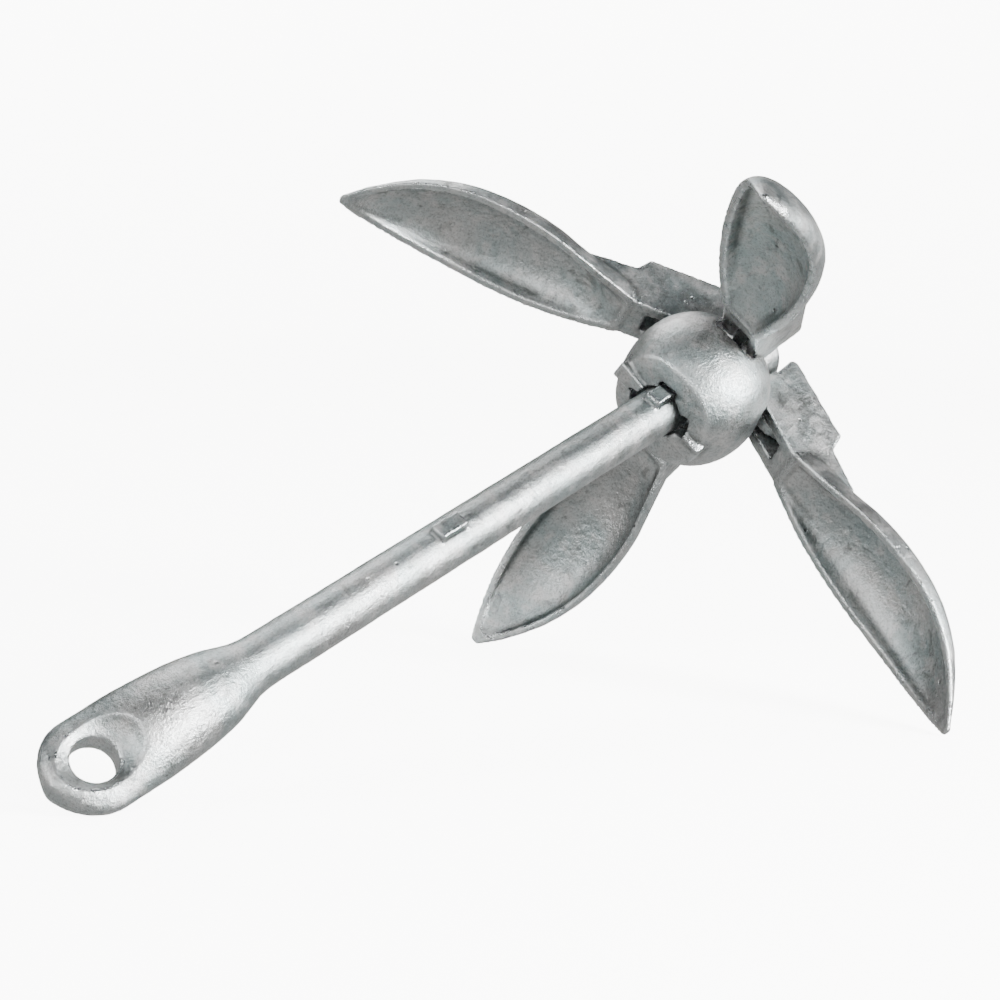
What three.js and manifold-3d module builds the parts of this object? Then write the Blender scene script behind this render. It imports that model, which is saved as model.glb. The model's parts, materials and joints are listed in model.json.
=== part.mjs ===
// Folding grapnel anchor, opened and locked, lying on its eye and two fluke tips.
// Units are millimetres and +Z is up.
//
// Every casting is made in the anchor's own frame: the shank runs along +Z from the crown to the eye,
// z = 0 is the height of the four hinge pins, and fluke 1 points along -X, 2 along +Y, 3 along +X and
// 4 along -Y. A last turn lays the finished anchor on the surface.

import * as THREE from 'three';
import { mergeVertices } from 'three/addons/utils/BufferGeometryUtils.js';
import { LoftGeometry } from 'three/addons/geometries/LoftGeometry.js';
import Module from 'manifold-3d';

const wasm = await Module();
wasm.setup();

// ---------------------------------------------------------------- driving dimensions

const touchGap = 0.3; // between pieces that rest on each other
const runGap = 0.3; // around a pin in its hole

// shank
const shankRadius = 9.2;
const eyeHeight = 320.5; // hinge height to the centre of the eye
const eyeHoleRadius = 7.6;
const eyeRingRadius = 16.9; // eye centre to the outside of the ring
const eyeRingThickness = 13.4;
const headThickness = 25; // thickest place of the swollen head behind the eye
const headLength = 71; // eye centre to where the plain shank starts
const eyeDishRadii = [15.5, 11, 17]; // of the hollow round each mouth of the eye: across, deep and along
const eyeDishOut = 6.5; // ring's face to the hollow's centre
const eyeDishShift = 1.2; // eye centre to the hollow's centre, along the shank
const eyeEndThinning = 0.45; // share of the ring's thickness that is lost at its very end
const tenonRadius = 6;
const peenRadius = 8.5;
const peenHeight = 3;

// lugs on the shank that hold the collar down, or up
const lugAzimuth = 98; // degrees from +X
const lugWidth = 6.5;
const lugReach = 12; // shank axis to the lug's outer face
const lugSink = 2; // how deep a lug's foot stands in the shank
const lugGap = 0.5; // collar's top face to the lower pair
const lowerLugLength = 8.5;
const upperLugLength = 12.5;
const upperLugHeight = 160; // hinge height to the underside of the upper pair

// crown
const hingeRadius = 27; // shank axis to each hinge pin
const hubGap = 1.2; // hub to the inner end of each fluke's root
const hubTop = 11;
const hubBottom = -14.5;
const hubBevel = 1;
const peenGap = 0.7; // more room round the peened end than round the tenon
const tongueThickness = 6;
const tongueBossRadius = 12;

// hinge pins
const pinRadius = 4;
const pinHeadRadius = 5.4;
const pinHeadDepth = 1.6;
const pinHeadSlope = 0.5;
const pinHeadSink = 0.2; // cheek to the head's end face

// flukes
const flukeLength = 143.6; // hinge pin to tip
const flukeHalfWidth = 21.3;
const tipHalfWidth = 1.8;
const cheekGap = 1.2; // each side of the tongue
const cheekThickness = 5.05;
const rootHalfHeight = 13; // hinge pin to the top and the underside of the root
const slotReach = 17; // hinge pin to the outer end of the clevis slot
const rootCorner = 2.5; // radius of the root's inner lower corner
const rootToe = 4; // how far that corner stands in past the rounded upper part
const toeTop = 1; // hinge pin down to where the toe starts
const heelReach = 20.5; // hinge pin to the heel's corner
const heelRun = 5; // how far the heel slopes back up to the leaf
const heelLip = 1.5;
const rootLength = 25;
const shoulderRun = 9; // heel's corner to where the root's top starts down to the leaf
const shoulderDrop = 1;
const neckReach = 45; // hinge pin to where the cheeks' flat sides run out on the leaf's back
const neckDepth = 4.5;
const rimBand = 3.4;
const bowlWall = 4;
const bowlStart = 0.015; // shares of the leaf's length
const bowlEnd = 0.955;
const bowlRamp = [-0.025, 0.24];
const openElevation = [35, 33.3, 18.7, 27]; // each fluke's rise from the crown plane, degrees
const hingePlay = [1.4, -0.6, 0.1, -0.9]; // how far each fluke leans sideways on its pin, degrees

// collar
const collarRadius = 29.9;
const collarCentre = 25.5;
const collarTop = 47;
const collarRim = 5;
const collarShoulder = 43; // where the ball starts to flatten towards its top face
const collarFaceRadius = 17.5; // edge of the flat top face round the bore
const collarBend = [1.2, 0.9]; // how far the shoulder bulges past a straight slope, out and up
const collarLobe = 1.5; // how far the ball draws in towards each fluke, which leaves four soft lobes
const collarWall = 5.5;
const collarBoreGap = 0.9;
const archGap = 0.7; // each side of a fluke root in the collar's arch
const archRise = 6.5; // top of a root, at its pin, to the top of its arch
const archCorner = 3;
const keywayGap = 0.7; // around a lug in the collar's bore
const keywayAzimuth = 18; // of the bore's open pair of notches, degrees from +X
const keywayReach = 13.9; // shank axis to the outer end of the open pair
const ribAzimuth = -5;
const ribWidth = 8;
const ribReach = 22.5;
const ribHeight = 2.2;
const ribDepth = 8; // how far down the ribs are rooted in the collar

const zinc = { color: 0xb9bdbd, roughness: 0.42, metalness: 0.85 };

// ---------------------------------------------------------------- helpers

const degrees = THREE.MathUtils.degToRad;
const point = (x, y, z) => new THREE.Vector3(x, y, z);

/** Turns a closed three.js geometry into a solid for booleans. */
function solid(geometry) {
  const bare = geometry.index ? geometry.toNonIndexed() : geometry.clone();
  bare.deleteAttribute('normal');
  bare.deleteAttribute('uv');
  const merged = mergeVertices(bare, 1e-4);
  const corners = merged.index.array;
  const kept = [];
  for (let i = 0; i < corners.length; i += 3) {
    const [a, b, c] = corners.slice(i, i + 3);
    if (a !== b && b !== c && c !== a) kept.push(a, b, c);
  }
  return new wasm.Manifold(new wasm.Mesh({
    numProp: 3,
    vertProperties: new Float32Array(merged.attributes.position.array),
    triVerts: new Uint32Array(kept),
  }));
}

/** Turns a solid back into a three.js geometry. */
function geometryOf(body) {
  const mesh = body.getMesh();
  const geometry = new THREE.BufferGeometry();
  geometry.setAttribute('position', new THREE.BufferAttribute(new Float32Array(mesh.vertProperties), 3));
  geometry.setIndex(Array.from(mesh.triVerts));
  geometry.computeVertexNormals();
  return geometry;
}

/** A solid skinned over closed sections, capped at both ends, with its faces pointing out. */
function loft(sections) {
  const middle = (section) => section.reduce((sum, p) => sum.add(p), point(0, 0, 0)).divideScalar(section.length);
  const [first, last] = [sections[0], sections.at(-1)];
  const forwards = middle(last).sub(middle(first));
  const largest = sections[Math.floor(sections.length / 2)];
  const centre = middle(largest);
  const facing = point(0, 0, 0);
  largest.forEach((p, i) => {
    const next = largest[(i + 1) % largest.length];
    facing.add(p.clone().sub(centre).cross(next.clone().sub(centre)));
  });
  const ordered = facing.dot(forwards) > 0 ? sections : sections.map((section) => [...section].reverse());
  return solid(new LoftGeometry(ordered, { closed: true, capStart: true, capEnd: true }));
}

/** A flat outline in the X-Z plane, extruded evenly to both sides of Y = 0. */
function plate(shape, thickness, curveSegments = 12) {
  const geometry = new THREE.ExtrudeGeometry(shape, { depth: thickness, bevelEnabled: false, curveSegments });
  geometry.translate(0, 0, -thickness / 2);
  geometry.rotateX(Math.PI / 2);
  return solid(geometry);
}

/** A box given by its low and high corners. */
function block(low, high) {
  const size = high.clone().sub(low);
  const geometry = new THREE.BoxGeometry(size.x, size.y, size.z);
  geometry.translate((low.x + high.x) / 2, (low.y + high.y) / 2, (low.z + high.z) / 2);
  return solid(geometry);
}

/** A turned solid about Z; its profile is a list of [radius, height] from the bottom up. */
function turned(profile, segments) {
  const points = profile.map(([radius, height]) => new THREE.Vector2(radius, height));
  const geometry = new THREE.LatheGeometry(points, segments);
  geometry.rotateX(Math.PI / 2);
  return solid(geometry);
}

const aboutZ = (body, angle) => body.rotate([0, 0, angle]);

/** A smooth run through [place, value] stations. */
function run(stations) {
  const curve = new THREE.SplineCurve(stations.map(([place, value]) => new THREE.Vector2(place, value)));
  const points = curve.getPoints(stations.length * 16);
  return (place) => {
    const after = points.findIndex((p) => p.x >= place);
    if (after < 1) return points[after < 0 ? points.length - 1 : 0].y;
    const [low, high] = [points[after - 1], points[after]];
    return low.y + ((high.y - low.y) * (place - low.x)) / (high.x - low.x);
  };
}

// ---------------------------------------------------------------- shank

const lowerLugHeight = collarTop + lugGap;
const headStart = eyeHeight - headLength;

// Stations along the head, from the plain shank to the eye, each a share of the way and a half size.
const headWidth = run([
  [0, shankRadius], [0.07, shankRadius + 0.1], [0.15, shankRadius + 1], [0.3, 0.8 * eyeRingRadius],
  [0.5, 0.92 * eyeRingRadius], [0.72, 0.985 * eyeRingRadius], [1, eyeRingRadius],
]);
const headDepth = run([
  [0, shankRadius], [0.07, shankRadius + 0.05], [0.15, shankRadius + 0.4], [0.45, headThickness / 2],
  [0.7, headThickness / 2 - 0.4], [0.88, headThickness / 2 - 3.4], [1, eyeRingThickness / 2],
]);

function lugPair(underside, length) {
  const inner = shankRadius - lugSink;
  const one = block(point(inner, -lugWidth / 2, underside), point(lugReach, lugWidth / 2, underside + length));
  return aboutZ(one.add(aboutZ(one, 180)), lugAzimuth);
}

function shank() {
  const shoulder = hubTop + touchGap;
  const rodEnd = headStart + 4;
  const sides = 32;
  const rod = turned([
    [0, hubBottom], [peenRadius, hubBottom], [tenonRadius, hubBottom + peenHeight], [tenonRadius, shoulder],
    [shankRadius, shoulder], [shankRadius, headStart], [tenonRadius, rodEnd], [0, rodEnd],
  ], sides);

  const sections = [];
  const addSection = (height, width, depth) => {
    const section = [];
    for (let i = 0; i < sides; i += 1) {
      const angle = (i / sides) * 2 * Math.PI;
      section.push(point(width * Math.cos(angle), depth * Math.sin(angle), height));
    }
    sections.push(section);
  };
  const headSteps = 14;
  for (let i = 0; i <= headSteps; i += 1) {
    const along = i / headSteps;
    addSection(headStart + headLength * along, headWidth(along), headDepth(along));
  }
  const endSteps = 8;
  for (let i = 1; i <= endSteps; i += 1) {
    const turn = ((i - 0.3) / endSteps) * (Math.PI / 2);
    const shrink = Math.cos(turn);
    const depth = (eyeRingThickness / 2) * (1 - eyeEndThinning * (1 - shrink));
    addSection(eyeHeight + eyeRingRadius * Math.sin(turn), eyeRingRadius * shrink, depth);
  }
  const head = loft(sections);

  const hole = new THREE.CylinderGeometry(eyeHoleRadius, eyeHoleRadius, 3 * headThickness, 32);
  hole.translate(0, 0, eyeHeight);
  const dishes = [1, -1].map((side) => {
    const dish = new THREE.SphereGeometry(1, 24, 12);
    dish.scale(...eyeDishRadii);
    dish.translate(0, side * (eyeRingThickness / 2 + eyeDishOut), eyeHeight + eyeDishShift);
    return solid(dish);
  });
  let body = rod.add(head).subtract(solid(hole));
  dishes.forEach((dish) => {
    body = body.subtract(dish);
  });
  return body.add(lugPair(lowerLugHeight, lowerLugLength)).add(lugPair(upperLugHeight, upperLugLength));
}

// ---------------------------------------------------------------- crown

const hubRadius = hingeRadius - rootHalfHeight - hubGap;

function crown() {
  const outline = new THREE.Shape();
  outline.moveTo(0, hubBottom + 2 * hubBevel);
  outline.lineTo(hingeRadius, -tongueBossRadius);
  outline.absarc(hingeRadius, 0, tongueBossRadius, -Math.PI / 2, Math.PI / 2, false);
  outline.lineTo(0, hubTop - hubBevel);
  outline.closePath();
  const pinHole = new THREE.Path();
  pinHole.absarc(hingeRadius, 0, pinRadius + runGap, 0, 2 * Math.PI, true);
  outline.holes.push(pinHole);
  const tongue = plate(outline, tongueThickness);

  let body = turned([
    [0, hubBottom], [hubRadius - hubBevel, hubBottom], [hubRadius, hubBottom + hubBevel],
    [hubRadius, hubTop - hubBevel], [hubRadius - hubBevel, hubTop], [0, hubTop],
  ], 32);
  for (let i = 0; i < 4; i += 1) body = body.add(aboutZ(tongue, 90 * i));
  const boreRadius = tenonRadius + touchGap;
  const mouthRadius = peenRadius + touchGap + peenGap;
  const bore = turned([
    [0, hubBottom - 1], [mouthRadius, hubBottom - 1], [boreRadius, hubBottom + peenHeight + touchGap],
    [boreRadius, hubTop + 1], [0, hubTop + 1],
  ], 32);
  return body.subtract(bore);
}

// ---------------------------------------------------------------- flukes and their pins

const rootHalfWidth = tongueThickness / 2 + cheekGap + cheekThickness;

// Stations along the leaf, from the root to the tip: how wide it is, how high its rim stands above the
// line through the hinge pin, and how deep its back is below the rim.
const leafStations = [
  { along: 0, width: 0.47, rim: 13.2, depth: 17 },
  { along: 0.16, width: 0.73, rim: 10.6, depth: 15 },
  { along: 0.31, width: 0.93, rim: 6.8, depth: 17 },
  { along: 0.47, width: 1, rim: 3.2, depth: 16.3 },
  { along: 0.63, width: 0.95, rim: 0.8, depth: 13.2 },
  { along: 0.78, width: 0.75, rim: 1.7, depth: 9.6 },
  { along: 0.9, width: 0.45, rim: 5, depth: 5.7 },
  { along: 0.97, width: 0.22, rim: 7.8, depth: 3.5 },
  { along: 1, width: tipHalfWidth / flukeHalfWidth, rim: 9, depth: 2.2 },
];
const leafWidth = run(leafStations.map(({ along, width }) => [along, width * flukeHalfWidth]));
const leafRim = run(leafStations.map(({ along, rim }) => [along, rim]));
const leafDepth = run(leafStations.map(({ along, depth }) => [along, depth]));

/** One closed section of the leaf: flat across the rim and rounded below. */
function trough(reach, halfWidth, rim, depth, rise, sides) {
  const section = [];
  for (let i = 0; i <= sides; i += 1) {
    const angle = (i / sides) * Math.PI;
    section.push(point(reach, halfWidth * Math.cos(angle), rim - depth * Math.sin(angle) ** 0.8));
  }
  if (rise > 0) section.push(point(reach, -halfWidth, rim + rise), point(reach, halfWidth, rim + rise));
  return section;
}

function flukeCasting() {
  const leafLength = flukeLength - rootLength;
  const steps = 14;
  const outer = [];
  const inner = [];
  for (let i = 0; i <= steps; i += 1) {
    const along = i / steps;
    const reach = rootLength + along * leafLength;
    outer.push(trough(reach, leafWidth(along), leafRim(along), leafDepth(along), 0, 12));
  }
  for (let i = 0; i <= steps; i += 1) {
    const along = bowlStart + (i / steps) * (bowlEnd - bowlStart);
    const reach = rootLength + along * leafLength;
    const ramp = THREE.MathUtils.smoothstep(along, ...bowlRamp);
    const width = Math.max(leafWidth(along) - rimBand, 0.6);
    const depth = Math.max((leafDepth(along) - bowlWall) * ramp, 0.4);
    inner.push(trough(reach, width, leafRim(along), depth, 12, 10));
  }

  const outline = new THREE.Shape();
  const toe = -rootHalfHeight - rootToe;
  const [toeX, toeY] = [toe + rootCorner, -rootHalfHeight + rootCorner];
  outline.moveTo(toeX, -rootHalfHeight);
  outline.lineTo(heelReach, -rootHalfHeight);
  outline.lineTo(heelReach + heelRun, -neckDepth - heelLip);
  outline.lineTo(neckReach, -neckDepth);
  outline.lineTo(neckReach, 0);
  outline.lineTo(heelReach + shoulderRun, rootHalfHeight - shoulderDrop);
  outline.lineTo(rootLength, rootHalfHeight);
  outline.lineTo(0, rootHalfHeight);
  outline.absarc(0, 0, rootHalfHeight, Math.PI / 2, Math.PI, false);
  outline.lineTo(-rootHalfHeight, -toeTop);
  outline.lineTo(toe, toeY);
  outline.absarc(toeX, toeY, rootCorner, Math.PI, 1.5 * Math.PI, false);
  const root = plate(outline, 2 * rootHalfWidth, 6);

  const slotHalf = tongueThickness / 2 + cheekGap;
  const tall = 2 * rootHalfHeight;
  const slot = block(point(-tall, -slotHalf, -tall), point(slotReach, slotHalf, tall));
  return loft(outer).add(root).subtract(loft(inner)).subtract(slot).subtract(pinBody(runGap));
}

/** A hinge pin with flush heads, or the hole that clears it by a gap. */
function pinBody(gap) {
  const half = rootHalfWidth + (gap > 0 ? 1 : -pinHeadSink);
  const body = pinRadius + gap;
  const head = pinHeadRadius + gap;
  const seat = rootHalfWidth - pinHeadDepth - gap;
  return turned([
    [0, -half], [head, -half], [head, -seat - pinHeadSlope], [body, -seat], [body, seat],
    [head, seat + pinHeadSlope], [head, half], [0, half],
  ], 20).rotate([90, 0, 0]);
}

// ---------------------------------------------------------------- collar

/** A level ring of the ball: drawn in towards each fluke, full between them. */
function lobedRing(radius, height, sides) {
  const ring = [];
  for (let i = 0; i < sides; i += 1) {
    const azimuth = (i / sides) * 2 * Math.PI;
    const valley = (1 + Math.cos(4 * azimuth)) / 2;
    const reach = radius * (1 - (valley * collarLobe) / collarRadius);
    ring.push(point(reach * Math.cos(azimuth), reach * Math.sin(azimuth), height));
  }
  return ring;
}

function collar() {
  const ceiling = collarTop - collarWall;
  const boreRadius = shankRadius + collarBoreGap;
  const arc = (radius, from, to, steps) => {
    const [low, high] = [from, to].map((height) => Math.asin((height - collarCentre) / radius));
    return Array.from({ length: steps + 1 }, (_, i) => {
      const angle = low + (i / steps) * (high - low);
      return [radius * Math.cos(angle), collarCentre + radius * Math.sin(angle)];
    });
  };
  const outside = arc(collarRadius, collarRim, collarShoulder, 10);
  const [shoulderRadius] = outside.at(-1);
  const bendRadius = (shoulderRadius + collarFaceRadius) / 2 + collarBend[0];
  const bendHeight = (collarShoulder + collarTop) / 2 + collarBend[1];
  outside.push([bendRadius, bendHeight], [collarFaceRadius, collarTop]);
  const ball = loft(outside.map(([radius, height]) => lobedRing(radius, height, 48)));

  const inside = arc(collarRadius - collarWall, collarRim, ceiling, 6);
  const mouth = [[0, collarRim - 1], [inside[0][0], collarRim - 1]];
  const hollow = turned([...mouth, ...inside, [0, ceiling]], 48);

  const archHalf = rootHalfWidth + archGap;
  const archTop = rootHalfHeight + archRise;
  const arch = new THREE.Shape();
  arch.moveTo(-archHalf, -collarRadius);
  arch.lineTo(archHalf, -collarRadius);
  arch.lineTo(archHalf, archTop - archCorner);
  arch.absarc(archHalf - archCorner, archTop - archCorner, archCorner, 0, Math.PI / 2, false);
  arch.lineTo(-archHalf + archCorner, archTop);
  arch.absarc(-archHalf + archCorner, archTop - archCorner, archCorner, Math.PI / 2, Math.PI, false);
  arch.closePath();
  const tunnel = plate(arch, 3 * collarRadius, 3);

  const ribLow = point(boreRadius - collarBoreGap, -ribWidth / 2, collarTop - ribDepth);
  const rib = block(ribLow, point(ribReach, ribWidth / 2, collarTop + ribHeight));
  const ribs = aboutZ(rib.add(aboutZ(rib, 180)), ribAzimuth);
  const keyHalf = lugWidth / 2 + keywayGap;
  const keywayTop = collarTop + 2 * ribHeight;
  const keyway = (reach) => block(point(-reach, -keyHalf, 0), point(reach, keyHalf, keywayTop));
  const bore = turned([[0, 0], [boreRadius, 0], [boreRadius, 2 * collarTop], [0, 2 * collarTop]], 48);

  const lugKeyway = aboutZ(keyway(lugReach + keywayGap), lugAzimuth);
  const openKeyway = aboutZ(keyway(keywayReach), keywayAzimuth);
  const body = ball.subtract(hollow).subtract(tunnel).subtract(aboutZ(tunnel, 90)).add(ribs);
  return body.subtract(bore).subtract(lugKeyway).subtract(openKeyway);
}

// ---------------------------------------------------------------- assembly

const anchor = new THREE.Group();

function addPiece(name, body, parent = anchor) {
  const mesh = new THREE.Mesh(geometryOf(body), new THREE.MeshStandardMaterial(zinc));
  mesh.name = name;
  parent.add(mesh);
  return mesh;
}

const shankMesh = addPiece('shank', shank());
addPiece('crown', crown());
addPiece('collar', collar());

const casting = flukeCasting();
const pin = pinBody(0);
const flukeMeshes = openElevation.map((elevation, index) => {
  const arm = new THREE.Group();
  arm.rotation.set(0, 0, degrees(180 - 90 * index));
  const hinge = new THREE.Group();
  hinge.position.set(hingeRadius, 0, 0);
  hinge.rotation.set(0, -degrees(elevation), degrees(hingePlay[index]), 'ZYX');
  arm.add(hinge);
  anchor.add(arm);
  addPiece(`hinge_pin_${index + 1}`, pin, hinge);
  return addPiece(`fluke_${index + 1}`, casting, hinge);
});

/** World-space corner points of a mesh. */
function cornersOf(mesh) {
  mesh.updateWorldMatrix(true, false);
  const places = mesh.geometry.attributes.position;
  return Array.from({ length: places.count }, (_, i) =>
    new THREE.Vector3().fromBufferAttribute(places, i).applyMatrix4(mesh.matrixWorld));
}

/** The plane normal, towards the anchor, of the surface that carries the eye and two fluke tips. */
function surfaceNormal() {
  const carriers = [shankMesh, flukeMeshes[2], flukeMeshes[3]].map(cornersOf);
  const normal = point(-0.65, 0.65, -0.39).normalize();
  for (let pass = 0; pass < 12; pass += 1) {
    const [a, b, c] = carriers.map((corners) =>
      corners.reduce((low, corner) => (corner.dot(normal) < low.dot(normal) ? corner : low)));
    const fresh = b.clone().sub(a).cross(c.clone().sub(a)).normalize();
    if (fresh.dot(normal) < 0) fresh.negate();
    normal.copy(fresh);
  }
  return normal;
}

const up = surfaceNormal();
const forward = point(0, 0, -1).addScaledVector(up, up.z).normalize(); // from the eye towards the crown
const left = up.clone().cross(forward);
const lay = new THREE.Matrix4().makeBasis(forward, left, up).transpose();
anchor.quaternion.setFromRotationMatrix(lay);
anchor.updateMatrixWorld(true);
const box = new THREE.Box3().setFromPoints(
  [shankMesh, ...flukeMeshes].flatMap((mesh) => cornersOf(mesh)));
const centre = box.getCenter(new THREE.Vector3());
anchor.position.set(-centre.x, -centre.y, -box.min.z);

const model = new THREE.Group();
model.add(anchor);
model.updateMatrixWorld(true);

export default model;
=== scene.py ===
"""Folding grapnel anchor in hot-dip galvanised iron, on a pale studio floor.

Every casting starts as a copy of its frame node. Its faces are made even, its facets are faired away, its
edges are rounded as a sand casting's are, and the dipped zinc's unevenness is pushed into the surface.
"""

import json
import math

import bmesh
import bpy
from bpy.props import FloatProperty, FloatVectorProperty, IntProperty, PointerProperty
from mathutils import Matrix, Vector
from mathutils.kdtree import KDTree


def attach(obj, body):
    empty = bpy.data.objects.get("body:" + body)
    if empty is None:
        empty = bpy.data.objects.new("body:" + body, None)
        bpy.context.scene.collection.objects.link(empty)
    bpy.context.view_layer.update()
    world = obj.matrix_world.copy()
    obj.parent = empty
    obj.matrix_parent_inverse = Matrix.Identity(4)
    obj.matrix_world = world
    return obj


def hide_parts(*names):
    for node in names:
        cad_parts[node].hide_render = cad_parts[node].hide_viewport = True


bl_info = {
    "name": "Folding grapnel anchor",
    "version": (1, 0, 0),
    "blender": (4, 5, 0),
    "location": "3D View > Sidebar > Anchor",
    "description": "Builds the looks of a galvanised folding grapnel anchor around its frame",
    "category": "Object",
}

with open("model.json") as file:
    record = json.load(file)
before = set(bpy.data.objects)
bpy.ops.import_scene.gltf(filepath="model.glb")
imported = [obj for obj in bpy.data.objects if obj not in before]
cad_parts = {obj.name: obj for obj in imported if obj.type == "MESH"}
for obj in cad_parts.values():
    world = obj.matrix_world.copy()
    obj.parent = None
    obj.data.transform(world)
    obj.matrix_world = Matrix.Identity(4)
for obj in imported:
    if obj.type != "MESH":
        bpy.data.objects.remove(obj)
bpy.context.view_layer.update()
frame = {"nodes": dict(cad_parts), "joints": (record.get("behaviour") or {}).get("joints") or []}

MM = 0.001
FLUKES = (1, 2, 3, 4)
TIP_REACH = 143.6 * MM  # hinge pin to a fluke's tip, along the fluke
TIP_RISE = 9 * MM  # hinge line up to the tip
EDGE_STEP = 0.4 * MM  # spacing of the points that mark a casting's edges
PIN_CLEAR = 0.15 * MM  # a rivet's trimmed end to the zinc over it
PIN_MOUTH = 8 * MM  # round a pin's axis, edges are covered with zinc
LOOK_AT = Vector((0, 0, 0.1))  # the place every lamp faces
IRON_SLOT = "galvanised_iron"
PIN_SLOT = "zinc_filled_pin"


def linear(code):
    """Turns an sRGB hex colour into linear light."""
    parts = [int(code[i:i + 2], 16) / 255 for i in (1, 3, 5)]
    return tuple(c / 12.92 if c <= 0.04045 else ((c + 0.055) / 1.055) ** 2.4 for c in parts)


# ---------------------------------------------------------------- the anchor's own frame


def joint(name):
    return next(j for j in frame["joints"] if j["name"] == name)


def hinge_place(number):
    return Vector(joint(f"fluke_{number}_fold")["pos_m"])


def anchor_matrix():
    """The anchor's frame in the row frame: +Z from the crown to the eye, fluke 3 along +X."""
    origin = sum((hinge_place(n) for n in FLUKES), Vector()) / len(FLUKES)
    shank_way = Vector(joint("collar_slide")["axis"]).normalized()
    across = hinge_place(3) - hinge_place(1)
    across = (across - shank_way * across.dot(shank_way)).normalized()
    side = shank_way.cross(across)
    return Matrix.Translation(origin) @ Matrix((across, side, shank_way)).transposed().to_4x4()


def fluke_matrix(number):
    """A fluke's frame: origin on its hinge pin, +X out to the tip, +Y along the pin, +Z out of the bowl."""
    pin = hinge_place(number)
    pin_way = -Vector(joint(f"fluke_{number}_fold")["axis"]).normalized()
    tip = max((v.co for v in frame["nodes"][f"fluke_{number}"].data.vertices),
              key=lambda co: (co - pin).length)
    tip_way = tip - pin
    tip_way = (tip_way - pin_way * tip_way.dot(pin_way)).normalized()
    rise = tip_way.cross(pin_way)
    lift = math.atan2(TIP_RISE, TIP_REACH)
    outward = tip_way * math.cos(lift) - rise * math.sin(lift)
    up = outward.cross(pin_way)
    return Matrix.Translation(pin) @ Matrix((outward, pin_way, up)).transposed().to_4x4()


# ---------------------------------------------------------------- settings


class CastingSettings(bpy.types.PropertyGroup):
    """How the castings are refined."""

    voxel: FloatProperty(name="Face size", description="Size of the faces a casting is remade from",
                         default=0.65 * MM, min=0.3 * MM, unit="LENGTH")
    edge_rounds: IntProperty(name="Edge rounding", description="Smoothing steps that round every edge",
                             default=5, min=0)
    sharp_angle: FloatProperty(name="Edge angle", description="Edges bent by more than this stay edges",
                               default=math.radians(26), subtype="ANGLE")
    edge_reach: FloatProperty(name="Edge reach", description="How far from an edge the fairing fades out",
                              default=3.2 * MM, unit="LENGTH")
    sand_size: FloatProperty(name="Sand grain", description="Spacing of the sand mould's grain",
                             default=1.7 * MM, unit="LENGTH")
    sand_height: FloatProperty(name="Grain height", description="Height of the sand mould's grain",
                               default=0.17 * MM, unit="LENGTH")
    wave_size: FloatProperty(name="Zinc wave", description="Spacing of the slow waves in the dipped zinc",
                             default=14 * MM, unit="LENGTH")
    wave_height: FloatProperty(name="Wave height", description="Height of the slow waves in the zinc",
                               default=0.26 * MM, unit="LENGTH")
    hammer_size: FloatProperty(name="Bowl grain", description="Spacing of the coarse grain down each bowl",
                               default=2.3 * MM, unit="LENGTH")
    cheek_half: FloatProperty(name="Cheek", description="From a fluke's middle plane to its cheeks",
                              default=9.25 * MM, unit="LENGTH")
    zinc_radius: FloatProperty(name="Zinc fill radius", description="Radius of the zinc over a pin's end",
                               default=6.3 * MM, unit="LENGTH")
    zinc_fill: FloatProperty(name="Zinc fill", description="Depth of the zinc over a pin's end",
                             default=1.5 * MM, unit="LENGTH")
    zinc_dip: FloatProperty(name="Zinc dip", description="How far the zinc over a pin's end sinks in",
                            default=0.12 * MM, unit="LENGTH")
    hammer_height: FloatProperty(name="Bowl grain height", description="Height of the bowls' coarse grain",
                                 default=0.5 * MM, unit="LENGTH")


class ZincSettings(bpy.types.PropertyGroup):
    """Colours and finish of the galvanised surface."""

    fresh: FloatVectorProperty(name="Zinc", description="Body colour of the dipped zinc",
                               default=linear("#b9b9b8"), subtype="COLOR", size=3)
    cool: FloatVectorProperty(name="Cool zinc", description="Blue-grey zinc where the coat is thin",
                              default=linear("#a0abac"), subtype="COLOR", size=3)
    warm: FloatVectorProperty(name="Warm zinc", description="Off-white bloom where the coat is thick",
                              default=linear("#d0cdcb"), subtype="COLOR", size=3)
    worn: FloatVectorProperty(name="Worn edge", description="Bright zinc on rubbed edges",
                              default=linear("#e6e9e9"), subtype="COLOR", size=3)
    # This dark colour is also the painted shade that darkens the zinc along folded-in edges and creases.
    pit_and_crease_shade: FloatVectorProperty(name="Pit", description="Dark iron in pinholes and smudges",
                             default=linear("#484a48"), subtype="COLOR", size=3)
    roughness: FloatProperty(name="Roughness", description="Roughness of the plain zinc",
                             default=0.34, min=0, max=1, subtype="FACTOR")


class StageSettings(bpy.types.PropertyGroup):
    """Camera, floor and studio light."""

    lens: FloatProperty(name="Lens", description="Focal length on a 36 mm wide sensor", default=79.49,
                        unit="CAMERA")
    floor: FloatVectorProperty(name="Floor", description="Colour of the floor and its sweep",
                               default=linear("#f4f4f3"), subtype="COLOR", size=3)
    floor_radius: FloatProperty(name="Floor radius", description="Flat part of the floor", default=2.4,
                                unit="LENGTH")
    sweep: FloatProperty(name="Sweep", description="Radius of the bend where the floor turns up",
                         default=1.6, unit="LENGTH")
    room: FloatVectorProperty(name="Room", description="Colour of the room that the metal mirrors",
                              default=linear("#707172"), subtype="COLOR", size=3)
    below: FloatVectorProperty(name="Below", description="Colour of the pale floor, as metal mirrors it",
                               default=linear("#d4d4d3"), subtype="COLOR", size=3)
    room_strength: FloatProperty(name="Room light", description="Strength of the room's light",
                                 default=1.0)
    light_scale: FloatProperty(name="Light", description="Scales the power of every lamp", default=3.1)
    glow: FloatProperty(name="Sweep glow", description="Light that the backlit floor sweep gives off",
                        default=8.0)


# ---------------------------------------------------------------- modelling helpers


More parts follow.
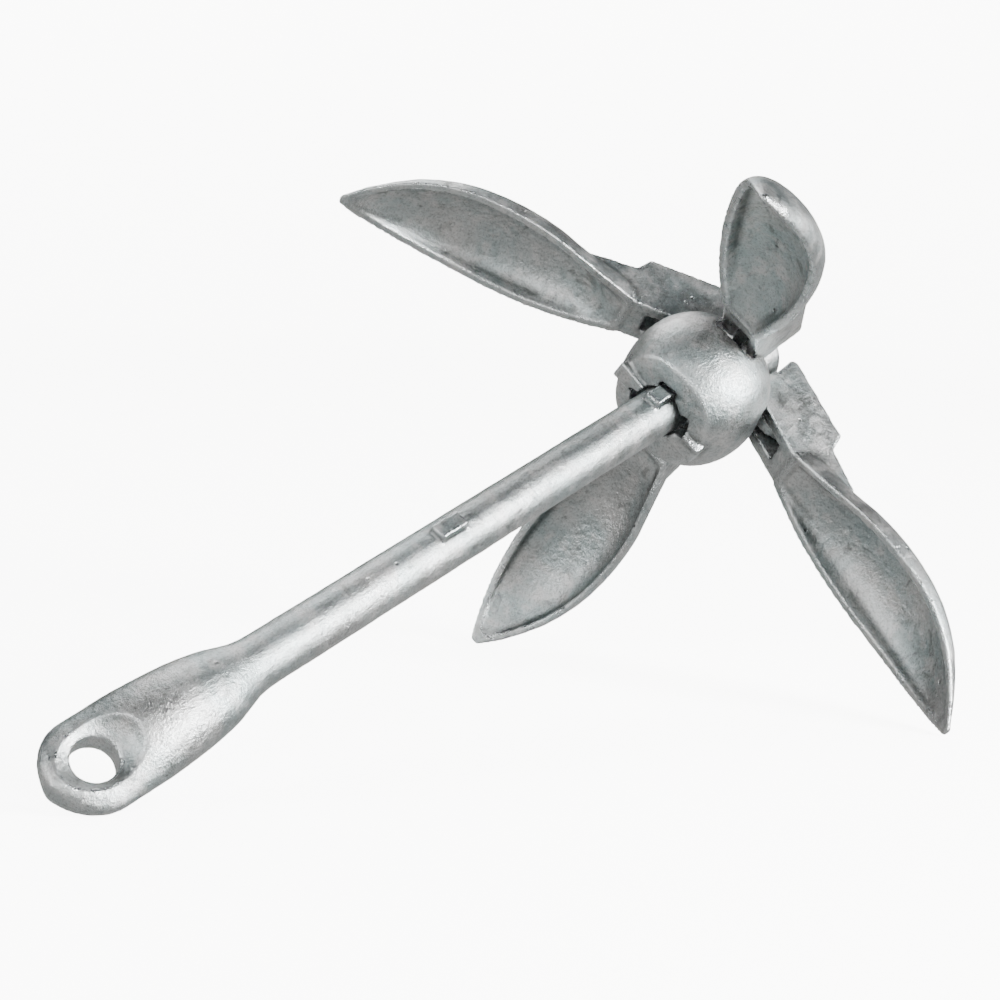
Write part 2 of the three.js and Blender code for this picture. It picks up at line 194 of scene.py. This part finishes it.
def deselect():
    if bpy.context.mode != "OBJECT":
        bpy.ops.object.mode_set(mode="OBJECT")
    bpy.ops.object.select_all(action="DESELECT")


def pick(piece):
    deselect()
    piece.select_set(True)
    bpy.context.view_layer.objects.active = piece


def apply_modifier(piece, kind, **values):
    """Adds a modifier, gives it its values and applies it."""
    pick(piece)
    modifier = piece.modifiers.new(kind.lower(), kind)
    for name, value in values.items():
        setattr(modifier, name, value)
    bpy.ops.object.modifier_apply(modifier=modifier.name)


def copy_of(node, name):
    """A merged copy of a frame node's mesh, as a piece of its own."""
    piece = bpy.data.objects.new(name, frame["nodes"][node].data.copy())
    piece.data.name = name
    piece.data.materials.clear()
    bpy.context.scene.collection.objects.link(piece)
    pick(piece)
    bpy.ops.object.mode_set(mode="EDIT")
    bpy.ops.mesh.select_all(action="SELECT")
    bpy.ops.mesh.remove_doubles(threshold=0.002 * MM)
    bpy.ops.object.mode_set(mode="OBJECT")
    return piece


def edge_places(piece, sharp_angle):
    """Points along the piece's edges: those that stand out, and those that fold in."""
    outer, inner = [], []
    shape = bmesh.new()
    shape.from_mesh(piece.data)
    for edge in shape.edges:
        if len(edge.link_faces) != 2 or edge.calc_face_angle(0) < sharp_angle:
            continue
        a, b = (v.co.copy() for v in edge.verts)
        steps = max(1, round((b - a).length / EDGE_STEP))
        places = outer if edge.calc_face_angle_signed(0) > 0 else inner
        places.extend(a.lerp(b, i / steps) for i in range(steps + 1))
    shape.free()
    return outer, inner


def near(places):
    """A function that gives the distance to the nearest of some places."""
    tree = KDTree(len(places))
    for i, place in enumerate(places):
        tree.insert(place, i)
    tree.balance()
    return (lambda co: tree.find(co)[2]) if places else (lambda co: math.inf)


def fade(distance, start, end):
    """1 at start and 0 at end, or the other way round, with a soft change between."""
    share = min(max((distance - start) / (end - start), 0), 1)
    return 1 - share * share * (3 - 2 * share)


def add_group(piece, name, weights):
    """Stores weights as a vertex group, which limits a modifier."""
    group = piece.vertex_groups.new(name=name)
    for i, weight in enumerate(weights):
        if weight > 0.004:
            group.add([i], weight, "REPLACE")


def add_values(piece, name, values):
    """Stores one number per vertex for the material to read."""
    attribute = piece.data.attributes.new(name, "FLOAT", "POINT")
    attribute.data.foreach_set("value", values)


def grain_texture(name, size):
    texture = bpy.data.textures.get(name) or bpy.data.textures.new(name, "CLOUDS")
    texture.noise_scale = size
    texture.noise_depth = 2
    return texture


def cast(piece, fair_rounds, hammered=None, mid_wave=1.0, edges=None):
    """Turns a merged copy into a casting: even faces, faired sides, rounded edges and cast grain."""
    s = bpy.context.scene.anchor_casting
    outer, inner = edges or edge_places(piece, s.sharp_angle)
    to_outer, to_inner = near(outer), near(inner)
    voxel = s.voxel
    rounds = fair_rounds
    apply_modifier(piece, "REMESH", mode="VOXEL", voxel_size=voxel, adaptivity=0)
    places = [v.co.copy() for v in piece.data.vertices]
    outward = [to_outer(co) for co in places]
    inward = [to_inner(co) for co in places]
    add_group(piece, "fair", [1 - fade(min(a, b), 0.6 * MM, s.edge_reach) for a, b in zip(outward, inward)])
    apply_modifier(piece, "SMOOTH", factor=0.5, iterations=rounds, vertex_group="fair")
    apply_modifier(piece, "SMOOTH", factor=0.5, iterations=s.edge_rounds)
    add_values(piece, "edge", [fade(d, 0.2 * MM, 1.9 * MM) for d in outward])
    # These values mark painted shade: 1 on folded-in edges, fading out by 2.8 mm, where the material
    # darkens the zinc.
    add_values(piece, "crease_shade", [fade(d, 0.2 * MM, 2.8 * MM) for d in inward])
    if hammered:
        weights = [hammered(co) for co in places]
        add_group(piece, "hammer", weights)
        add_values(piece, "bowl_band", weights)
        apply_modifier(piece, "DISPLACE", texture=grain_texture("bowl_grain", s.hammer_size),
                       strength=s.hammer_height, mid_level=0.5, vertex_group="hammer",
                       texture_coords="LOCAL")
    apply_modifier(piece, "DISPLACE", texture=grain_texture("zinc_wave", s.wave_size),
                   strength=s.wave_height * mid_wave, mid_level=0.5, texture_coords="LOCAL")
    apply_modifier(piece, "DISPLACE", texture=grain_texture("sand_grain", s.sand_size),
                   strength=s.sand_height, mid_level=0.5, texture_coords="LOCAL")
    piece.vertex_groups.clear()
    pick(piece)
    bpy.ops.object.shade_smooth()


def fill_pin_holes(piece, place):
    """Adds the zinc that closes both mouths of a fluke's pin hole, just under flush with the cheeks."""
    s = bpy.context.scene.anchor_casting
    plugs = []
    for side in (1, -1):
        middle = place @ Vector((0, side * (s.cheek_half - s.zinc_fill / 2 - s.zinc_dip), 0))
        turn = (place.to_3x3() @ Matrix.Rotation(math.radians(90), 3, "X")).to_euler()
        deselect()
        bpy.ops.mesh.primitive_cylinder_add(vertices=48, radius=s.zinc_radius, depth=s.zinc_fill,
                                            location=middle, rotation=turn)
        plugs.append(bpy.context.object)
    pick(piece)
    for plug in plugs:
        plug.select_set(True)
    bpy.ops.object.join()


def trim_pin(piece, place):
    """Cuts a hinge pin's ends back to where the zinc in its hole's mouths starts."""
    s = bpy.context.scene.anchor_casting
    reach = s.cheek_half - s.zinc_dip - s.zinc_fill - PIN_CLEAR
    pick(piece)
    bpy.ops.object.mode_set(mode="EDIT")
    for side in (1, -1):
        bpy.ops.mesh.select_all(action="SELECT")
        bpy.ops.mesh.bisect(plane_co=place @ Vector((0, side * reach, 0)),
                            plane_no=place.to_3x3() @ Vector((0, side, 0)), use_fill=True, clear_outer=True)
    bpy.ops.object.mode_set(mode="OBJECT")


def finish_piece(piece, body, slot, material, *nodes):
    piece.data.materials.clear()
    piece.data.materials.append(material)
    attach(piece, body)
    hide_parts(*nodes)


# ---------------------------------------------------------------- materials


def add(tree, kind, settings=None, links=None):
    """Adds a node, gives it its settings and input values, and links its inputs."""
    node = tree.nodes.new(kind)
    for name, value in (settings or {}).items():
        if name in node.inputs:
            node.inputs[name].default_value = value
        else:
            setattr(node, name, value)
    for name, source in (links or {}).items():
        tree.links.new(source, node.inputs[name])
    return node


def blend_colour(tree, share, first, second):
    """Mixes two colours, each a socket or a plain colour, by a share."""
    node = add(tree, "ShaderNodeMix", {"data_type": "RGBA"})
    tree.links.new(share, node.inputs[0])
    for index, colour in ((6, first), (7, second)):
        if isinstance(colour, bpy.types.NodeSocket):
            tree.links.new(colour, node.inputs[index])
        else:
            node.inputs[index].default_value = (*colour, 1)
    return node.outputs[2]


def remap(tree, value, low, high, to_low=0.0, to_high=1.0):
    node = add(tree, "ShaderNodeMapRange", {"interpolation_type": "SMOOTHSTEP", "From Min": low,
               "From Max": high, "To Min": to_low, "To Max": to_high}, {"Value": value})
    return node.outputs["Result"]


def times(tree, first, second):
    node = add(tree, "ShaderNodeMath", {"operation": "MULTIPLY"})
    tree.links.new(first, node.inputs[0])
    if isinstance(second, (int, float)):
        node.inputs[1].default_value = second
    else:
        tree.links.new(second, node.inputs[1])
    return node.outputs[0]


def plus(tree, first, second):
    node = add(tree, "ShaderNodeMath", {"operation": "ADD"})
    tree.links.new(first, node.inputs[0])
    tree.links.new(second, node.inputs[1])
    return node.outputs[0]


def galvanised_iron(name="hot_dip_galvanised_iron"):
    """Malleable iron dipped in molten zinc: a satin metal with a mottled bloom, fine sand grain showing
    through the coat, brighter rubbed edges, and dark pinholes where gas came out of the casting."""
    if name in bpy.data.materials:
        return bpy.data.materials[name]
    s = bpy.context.scene.anchor_zinc
    material = bpy.data.materials.new(name)
    material.use_nodes = True
    tree = material.node_tree
    tree.nodes.clear()
    place = add(tree, "ShaderNodeTexCoord").outputs["Object"]

    def noise(size, detail=2.0, rough=0.5, twist=0.0):
        """A noise whose lumps are size metres apart."""
        return add(tree, "ShaderNodeTexNoise", {"Scale": 1 / size, "Detail": detail, "Roughness": rough,
                   "Distortion": twist}, {"Vector": place}).outputs["Fac"]

    def own(attribute):
        return add(tree, "ShaderNodeAttribute", {"attribute_name": attribute}).outputs["Fac"]

    bloom = noise(26 * MM, 3, 0.6, 0.6)
    mottle = noise(7 * MM, 3, 0.55)
    sand = noise(0.9 * MM, 3, 0.75)
    peel = noise(2.4 * MM, 2, 0.5, 0.4)
    grains = add(tree, "ShaderNodeTexVoronoi", {"Scale": 1 / (2.6 * MM)}, {"Vector": place})
    spangle = add(tree, "ShaderNodeSeparateColor", None, {"Color": grains.outputs["Color"]}).outputs["Red"]
    edge, crease_shade, hammer = own("edge"), own("crease_shade"), own("bowl_band")

    colour = blend_colour(tree, remap(tree, bloom, 0.3, 0.7), s.cool, s.fresh)
    colour = blend_colour(tree, times(tree, remap(tree, mottle, 0.48, 0.7), 0.5), colour, s.warm)
    colour = blend_colour(tree, times(tree, remap(tree, spangle, 0.2, 0.95), 0.13), colour, s.worn)
    colour = blend_colour(tree, times(tree, remap(tree, sand, 0.46, 0.68), 0.42), colour, s.pit_and_crease_shade)
    # Painted shade: darkens the zinc towards the dark pit colour along folded-in edges and creases.
    colour = blend_colour(tree, times(tree, crease_shade, 0.5), colour, s.pit_and_crease_shade)
    smudge = times(tree, remap(tree, noise(13 * MM, 4, 0.65, 1.2), 0.56, 0.7), 0.5)
    colour = blend_colour(tree, smudge, colour, s.pit_and_crease_shade)
    rub = times(tree, edge, remap(tree, sand, 0.35, 0.6, 0.05, 0.42))
    colour = blend_colour(tree, rub, colour, s.worn)

    # Pinholes: few cells of a 9 mm pattern hold one, about 1 mm across.
    cells = add(tree, "ShaderNodeTexVoronoi", {"Scale": 1 / (9 * MM), "Randomness": 1.0}, {"Vector": place})
    kept = add(tree, "ShaderNodeSeparateColor", None, {"Color": cells.outputs["Color"]}).outputs["Green"]
    hole = remap(tree, cells.outputs["Distance"], 0.05, 0.12, 1, 0)
    hole = times(tree, hole, remap(tree, kept, 0.62, 0.68))
    colour = blend_colour(tree, times(tree, hole, 0.75), colour, s.pit_and_crease_shade)

    rough = remap(tree, mottle, 0.3, 0.7, s.roughness - 0.06, s.roughness + 0.09)
    rough = plus(tree, rough, times(tree, edge, -0.08))

    coarse = times(tree, hammer, noise(1.6 * MM, 2, 0.6))
    grain = plus(tree, plus(tree, sand, times(tree, peel, 0.6)), coarse)
    low = add(tree, "ShaderNodeBump", {"Strength": 0.9, "Distance": 0.32 * MM}, {"Height": grain})
    pitted = add(tree, "ShaderNodeBump", {"Strength": 0.8, "Distance": 0.5 * MM, "invert": True},
                 {"Height": hole, "Normal": low.outputs["Normal"]})
    shader = add(tree, "ShaderNodeBsdfPrincipled", {"Metallic": 1.0},
                 {"Base Color": colour, "Roughness": rough, "Normal": pitted.outputs["Normal"]})
    add(tree, "ShaderNodeOutputMaterial", None, {"Surface": shader.outputs["BSDF"]})
    return material


def studio_card():
    """Matt white card: bright, with no gloss, and a faint tooth."""
    s = bpy.context.scene.anchor_stage
    material = bpy.data.materials.new("matt_white_card")
    material.use_nodes = True
    tree = material.node_tree
    tree.nodes.clear()
    place = add(tree, "ShaderNodeTexCoord").outputs["Object"]
    tooth = add(tree, "ShaderNodeTexNoise", {"Scale": 1 / (0.8 * MM)}, {"Vector": place}).outputs["Fac"]
    bump = add(tree, "ShaderNodeBump", {"Strength": 0.05, "Distance": 0.05 * MM}, {"Height": tooth})
    shader = add(tree, "ShaderNodeBsdfPrincipled", {"Base Color": (*s.floor, 1), "Roughness": 0.9,
                 "Specular IOR Level": 0.2, "Emission Color": (*s.floor, 1),
                 "Emission Strength": s.glow}, {"Normal": bump.outputs["Normal"]})
    add(tree, "ShaderNodeOutputMaterial", None, {"Surface": shader.outputs["BSDF"]})
    return material


# ---------------------------------------------------------------- operators: one for each group of pieces


class ANCHOR_OT_shank(bpy.types.Operator):
    """Casts the shank, with its swollen head, eye and lugs."""

    bl_idname = "anchor.shank"
    bl_label = "Shank"

    def execute(self, context):
        piece = copy_of("shank", "shank_casting")
        cast(piece, 14, mid_wave=1.25)
        finish_piece(piece, "anchor_shank", IRON_SLOT, galvanised_iron(), "shank")
        return {"FINISHED"}


class ANCHOR_OT_crown(bpy.types.Operator):
    """Casts the crown inside the collar."""

    bl_idname = "anchor.crown"
    bl_label = "Crown"

    def execute(self, context):
        piece = copy_of("crown", "crown_casting")
        cast(piece, 8, mid_wave=0.5)
        finish_piece(piece, "anchor_shank", IRON_SLOT, galvanised_iron(), "crown")
        return {"FINISHED"}


class ANCHOR_OT_collar(bpy.types.Operator):
    """Casts the ball-shaped locking collar."""

    bl_idname = "anchor.collar"
    bl_label = "Collar"

    def execute(self, context):
        piece = copy_of("collar", "collar_casting")
        cast(piece, 24, mid_wave=0.8)
        finish_piece(piece, "collar", IRON_SLOT, galvanised_iron(), "collar")
        return {"FINISHED"}


class ANCHOR_OT_flukes(bpy.types.Operator):
    """Casts the four spoon flukes, with coarse grain down each bowl."""

    bl_idname = "anchor.flukes"
    bl_label = "Flukes"

    def execute(self, context):
        for number in FLUKES:
            piece = copy_of(f"fluke_{number}", f"fluke_casting_{number}")
            place = fluke_matrix(number)
            to_fluke = place.inverted()

            def hammered(co):
                """Down the middle of the bowl, from past its root to short of its tip, in millimetres."""
                out, across, up = (c / MM for c in to_fluke @ co)
                inside = fade(out, 34, 30) * fade(out, 88, 122)
                return inside * fade(abs(across), 3, 11) * (1 if -13 < up < 4 else 0)

            outer, inner = edge_places(piece, context.scene.anchor_casting.sharp_angle)
            keep = [co for co in outer if (to_fluke @ co).xz.length > PIN_MOUTH]
            fill_pin_holes(piece, place)
            cast(piece, 70, hammered, edges=(keep, inner))
            finish_piece(piece, f"fluke_{number}", IRON_SLOT, galvanised_iron(), f"fluke_{number}")
        return {"FINISHED"}


class ANCHOR_OT_hinge_pins(bpy.types.Operator):
    """Gives each hinge pin its zinc."""

    bl_idname = "anchor.hinge_pins"
    bl_label = "Hinge pins"

    def execute(self, context):
        for number in FLUKES:
            piece = copy_of(f"hinge_pin_{number}", f"hinge_rivet_{number}")
            trim_pin(piece, fluke_matrix(number))
            cast(piece, 4, mid_wave=0.1)
            finish_piece(piece, f"fluke_{number}", PIN_SLOT, galvanised_iron(), f"hinge_pin_{number}")
        return {"FINISHED"}


class ANCHOR_OT_stage(bpy.types.Operator):
    """Sets up the floor with its sweep, the lamps, the room and the camera."""

    bl_idname = "anchor.stage"
    bl_label = "Stage"

    def execute(self, context):
        s = context.scene.anchor_stage
        deselect()
        bpy.ops.mesh.primitive_circle_add(vertices=96, radius=s.floor_radius, fill_type="NGON")
        floor = context.object
        floor.name = "studio_floor"
        bpy.ops.object.mode_set(mode="EDIT")
        bpy.ops.mesh.select_all(action="SELECT")
        bpy.ops.mesh.select_mode(type="EDGE")
        bpy.ops.mesh.region_to_loop()
        reach, height, steps = s.floor_radius, 0.0, 8
        for step in range(1, steps + 1):
            turn = step / steps * math.pi / 2
            new_reach = s.floor_radius + s.sweep * math.sin(turn)
            new_height = s.sweep * (1 - math.cos(turn))
            bpy.ops.mesh.extrude_edges_move()
            bpy.ops.transform.resize(value=(new_reach / reach, new_reach / reach, 1),
                                     center_override=(0, 0, height))
            bpy.ops.transform.translate(value=(0, 0, new_height - height))
            reach, height = new_reach, new_height
        bpy.ops.mesh.select_all(action="SELECT")
        bpy.ops.mesh.normals_make_consistent(inside=False)
        bpy.ops.object.mode_set(mode="OBJECT")
        bpy.ops.object.shade_smooth()
        floor.data.materials.append(studio_card())
        floor.visible_glossy = False

        # Each lamp: place, width, depth, watts.
        lamps = {
            "key": ((0.35, -1.12, 0.38), 0.45, 0.45, 19),
            "camera_side": ((-1.10, -0.75, 0.75), 0.6, 0.5, 3),
            "left": ((-1.30, 0.40, 0.60), 0.5, 0.4, 4),
            "back": ((0.50, 0.80, 1.30), 0.7, 0.5, 4),
            "right": ((1.20, -0.50, 0.50), 0.4, 0.5, 1.5),
        }
        for name, (at, width, depth, watts) in lamps.items():
            data = bpy.data.lights.new(name, "AREA")
            data.shape = "RECTANGLE"
            data.size, data.size_y = width, depth
            data.energy = watts * s.light_scale
            lamp = bpy.data.objects.new(name, data)
            context.scene.collection.objects.link(lamp)
            lamp.location = at
            lamp.rotation_euler = (LOOK_AT - Vector(at)).to_track_quat("-Z", "Y").to_euler()

        world = bpy.data.worlds.new("studio_room")
        context.scene.world = world
        world.use_nodes = True
        tree = world.node_tree
        tree.nodes.clear()
        way = add(tree, "ShaderNodeTexCoord").outputs["Generated"]
        rise = add(tree, "ShaderNodeSeparateXYZ", None, {"Vector": way}).outputs["Z"]
        colour = blend_colour(tree, remap(tree, rise, -0.35, 0.45), s.below, s.room)
        light = add(tree, "ShaderNodeBackground", {"Strength": s.room_strength}, {"Color": colour})
        add(tree, "ShaderNodeOutputWorld", None, {"Surface": light.outputs["Background"]})

        # Where the camera stands and looks, in the anchor's frame.
        to_row = anchor_matrix()
        turn = to_row.to_3x3()
        right = turn @ Vector((0.6576, 0.3469, -0.6687))
        up = turn @ Vector((-0.7178, 0.5580, -0.4164))
        data = bpy.data.cameras.new("camera")
        data.sensor_fit = "HORIZONTAL"
        data.sensor_width = 36
        data.lens = s.lens
        data.clip_start, data.clip_end = 0.01, 50
        camera = bpy.data.objects.new("camera", data)
        context.scene.collection.objects.link(camera)
        backward = right.cross(up)
        axes = Matrix((right, backward.cross(right), backward)).transposed().to_4x4()
        camera.matrix_world = Matrix.Translation(to_row @ Vector((0.1761, 0.5905, 0.6159))) @ axes
        context.scene.camera = camera
        return {"FINISHED"}


class ANCHOR_PT_panel(bpy.types.Panel):
    """Buttons for the anchor's pieces and its stage."""

    bl_idname = "ANCHOR_PT_panel"
    bl_label = "Folding grapnel anchor"
    bl_space_type = "VIEW_3D"
    bl_region_type = "UI"
    bl_category = "Anchor"

    def draw(self, context):
        for group in ("anchor_casting", "anchor_zinc", "anchor_stage"):
            box = self.layout.box()
            settings = getattr(context.scene, group)
            for name in settings.__annotations__:
                box.prop(settings, name)
        for operator in OPERATORS:
            self.layout.operator(operator.bl_idname)


# ---------------------------------------------------------------- registration and the run

SETTINGS = {"anchor_casting": CastingSettings, "anchor_zinc": ZincSettings, "anchor_stage": StageSettings}
OPERATORS = (ANCHOR_OT_shank, ANCHOR_OT_crown, ANCHOR_OT_collar, ANCHOR_OT_flukes, ANCHOR_OT_hinge_pins,
             ANCHOR_OT_stage)


def register():
    for kind in (*SETTINGS.values(), *OPERATORS, ANCHOR_PT_panel):
        bpy.utils.register_class(kind)
    for name, kind in SETTINGS.items():
        setattr(bpy.types.Scene, name, PointerProperty(type=kind))


def unregister():
    for name in SETTINGS:
        delattr(bpy.types.Scene, name)
    for kind in (ANCHOR_PT_panel, *reversed(OPERATORS), *reversed(SETTINGS.values())):
        bpy.utils.unregister_class(kind)


def main():
    register()
    for operator in OPERATORS:
        group, name = operator.bl_idname.split(".")
        getattr(getattr(bpy.ops, group), name)()


if __name__ == "__main__":
    main()
